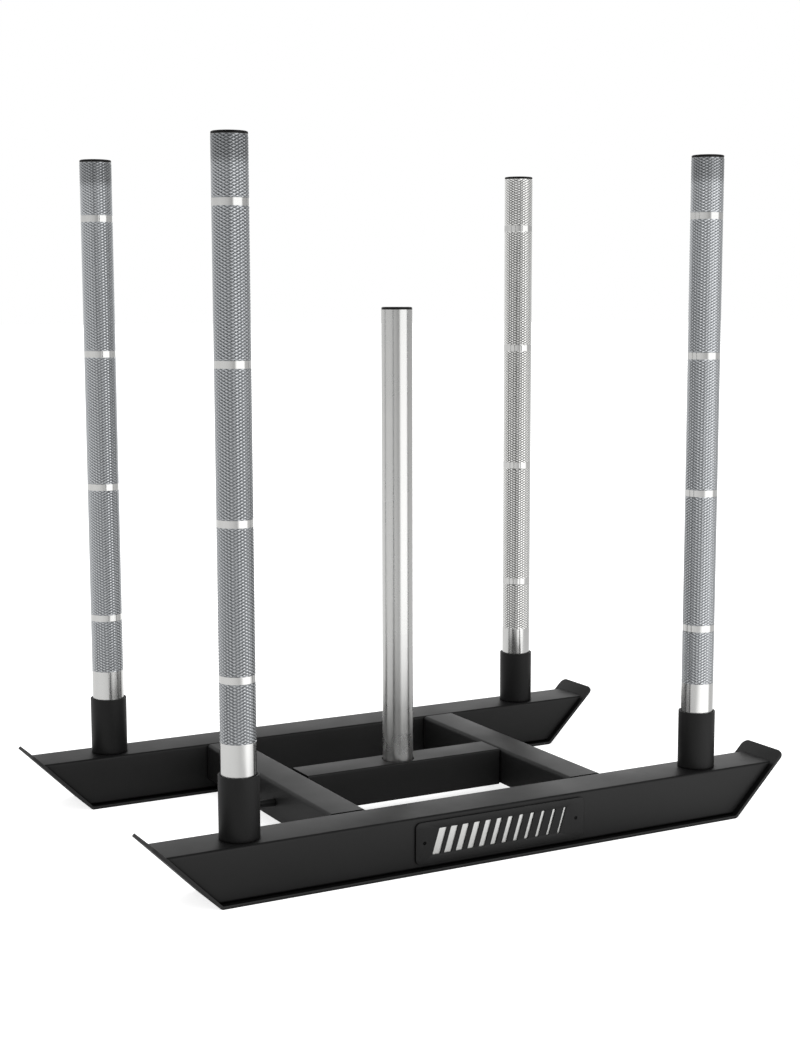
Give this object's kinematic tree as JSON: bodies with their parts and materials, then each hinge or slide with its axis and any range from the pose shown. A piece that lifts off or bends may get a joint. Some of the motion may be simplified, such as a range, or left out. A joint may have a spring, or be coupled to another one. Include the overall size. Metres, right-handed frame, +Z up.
{
  "type": "weight sled",
  "caption": "Push and drag sled: box-section runners on turned-up skid plates, tied by cross tubes, with lift-out knurled push poles, a central post for weight plates and a tow eye.",
  "frame": {"origin": "on the floor, under the middle of the sled", "axes": "+Z up; the sled travels along X with its tow eye towards -X; its left side is towards -Y"},
  "size_m": [1.064, 0.638, 1.031],
  "materials": {
    "frame_coat": "satin charcoal powder coat",
    "skid_coat": "satin charcoal powder coat over bent plate",
    "pole_chrome": "hard-chromed steel, knurled in long bands",
    "post_chrome": "smooth hard-chromed steel",
    "plug_plastic": "moulded black plastic",
    "nameplate_coat": "satin charcoal powder coat",
    "backing_steel": "brushed stainless sheet",
    "rivet_coat": "black coated steel"
  },
  "bodies": {
    "sled_frame": {"left_runner": "frame_coat", "right_runner": "frame_coat", "front_cross_member": "frame_coat", "rear_cross_member": "frame_coat", "centre_beam": "frame_coat", "post_spigot": "frame_coat", "front_left_socket": "frame_coat", "front_right_socket": "frame_coat", "rear_left_socket": "frame_coat", "rear_right_socket": "frame_coat", "tow_eye": "frame_coat", "left_skid": "skid_coat", "right_skid": "skid_coat", "left_nameplate": "nameplate_coat", "left_backing_plate": "backing_steel", "left_nameplate_rivets": "rivet_coat", "right_nameplate": "nameplate_coat", "right_backing_plate": "backing_steel", "right_nameplate_rivets": "rivet_coat"},
    "front_left_pole_body": {"front_left_pole": "pole_chrome", "front_left_pole_plug": "plug_plastic"},
    "front_right_pole_body": {"front_right_pole": "pole_chrome", "front_right_pole_plug": "plug_plastic"},
    "rear_left_pole_body": {"rear_left_pole": "pole_chrome", "rear_left_pole_plug": "plug_plastic"},
    "rear_right_pole_body": {"rear_right_pole": "pole_chrome", "rear_right_pole_plug": "plug_plastic"},
    "weight_post_body": {"weight_post": "post_chrome", "weight_post_plug": "plug_plastic"}
  },
  "joints": [
    {"name": "front_left_pole_lift", "type": "slide", "parent": "sled_frame", "child": "front_left_pole_body", "axis": [0, 0, 1], "range_m": [0, 0.1]},
    {"name": "front_right_pole_lift", "type": "slide", "parent": "sled_frame", "child": "front_right_pole_body", "axis": [0, 0, 1], "range_m": [0, 0.1]},
    {"name": "rear_left_pole_lift", "type": "slide", "parent": "sled_frame", "child": "rear_left_pole_body", "axis": [0, 0, 1], "range_m": [0, 0.1]},
    {"name": "rear_right_pole_lift", "type": "slide", "parent": "sled_frame", "child": "rear_right_pole_body", "axis": [0, 0, 1], "range_m": [0, 0.1]},
    {"name": "weight_post_lift", "type": "slide", "parent": "sled_frame", "child": "weight_post_body", "axis": [0, 0, 1], "range_m": [0, 0.067]}
  ]
}
